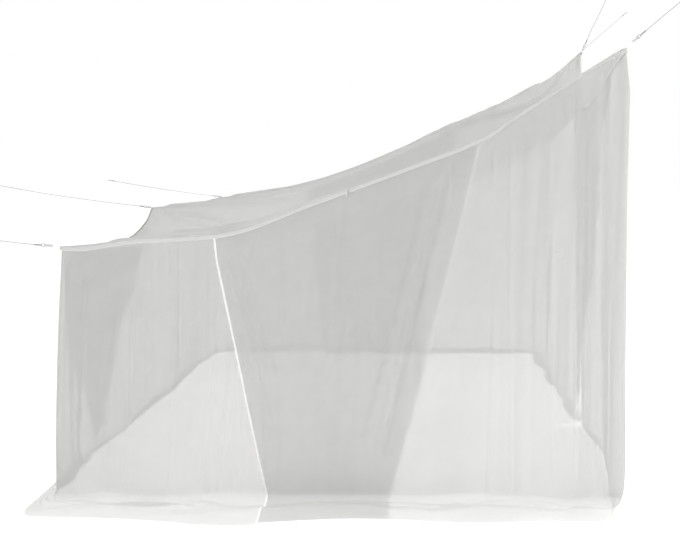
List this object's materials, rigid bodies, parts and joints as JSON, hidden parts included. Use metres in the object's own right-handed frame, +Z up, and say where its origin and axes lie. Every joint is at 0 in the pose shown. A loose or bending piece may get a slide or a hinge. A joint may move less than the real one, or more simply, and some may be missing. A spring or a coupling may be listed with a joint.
{
  "type": "mosquito net canopy",
  "caption": "Rectangular box mosquito net of sheer netting for a double bed, hung from cords at its top edge, with overlapping door panels and spare cloth on the floor.",
  "frame": {"origin": "on the floor at the middle of the net's outline, spare cloth included", "axes": "+Z up; +X along the bed from the low head end to the high foot end; -Y is the front"},
  "size_m": [3.7623, 2.381, 2.3649],
  "materials": {
    "net": "sheer white polyester netting",
    "tape": "woven white tape, matt",
    "cord": "thin light grey cord, matt"
  },
  "bodies": {
    "root": {"roof": "net", "wall_front_head": "net", "wall_front_foot": "net", "wall_rear_foot": "net", "wall_rear_head": "net", "top_tape": "tape", "front_head_loop": "tape", "front_head_eye": "cord", "front_head_cord": "cord", "front_head_end_loop": "cord", "mid_head_loop": "tape", "mid_head_eye": "cord", "mid_head_cord": "cord", "mid_head_end_loop": "cord", "rear_head_loop": "tape", "rear_head_eye": "cord", "rear_head_cord": "cord", "rear_head_end_loop": "cord", "front_foot_loop": "tape", "front_foot_eye": "cord", "front_foot_cord": "cord", "front_foot_end_loop": "cord", "mid_foot_loop": "tape", "mid_foot_eye": "cord", "mid_foot_cord": "cord", "mid_foot_end_loop": "cord", "rear_foot_loop": "tape", "rear_foot_eye": "cord", "rear_foot_cord": "cord", "rear_foot_end_loop": "cord", "spare_loop": "tape", "inner_loop_head": "tape", "inner_loop_foot": "tape"}
  },
  "joints": []
}
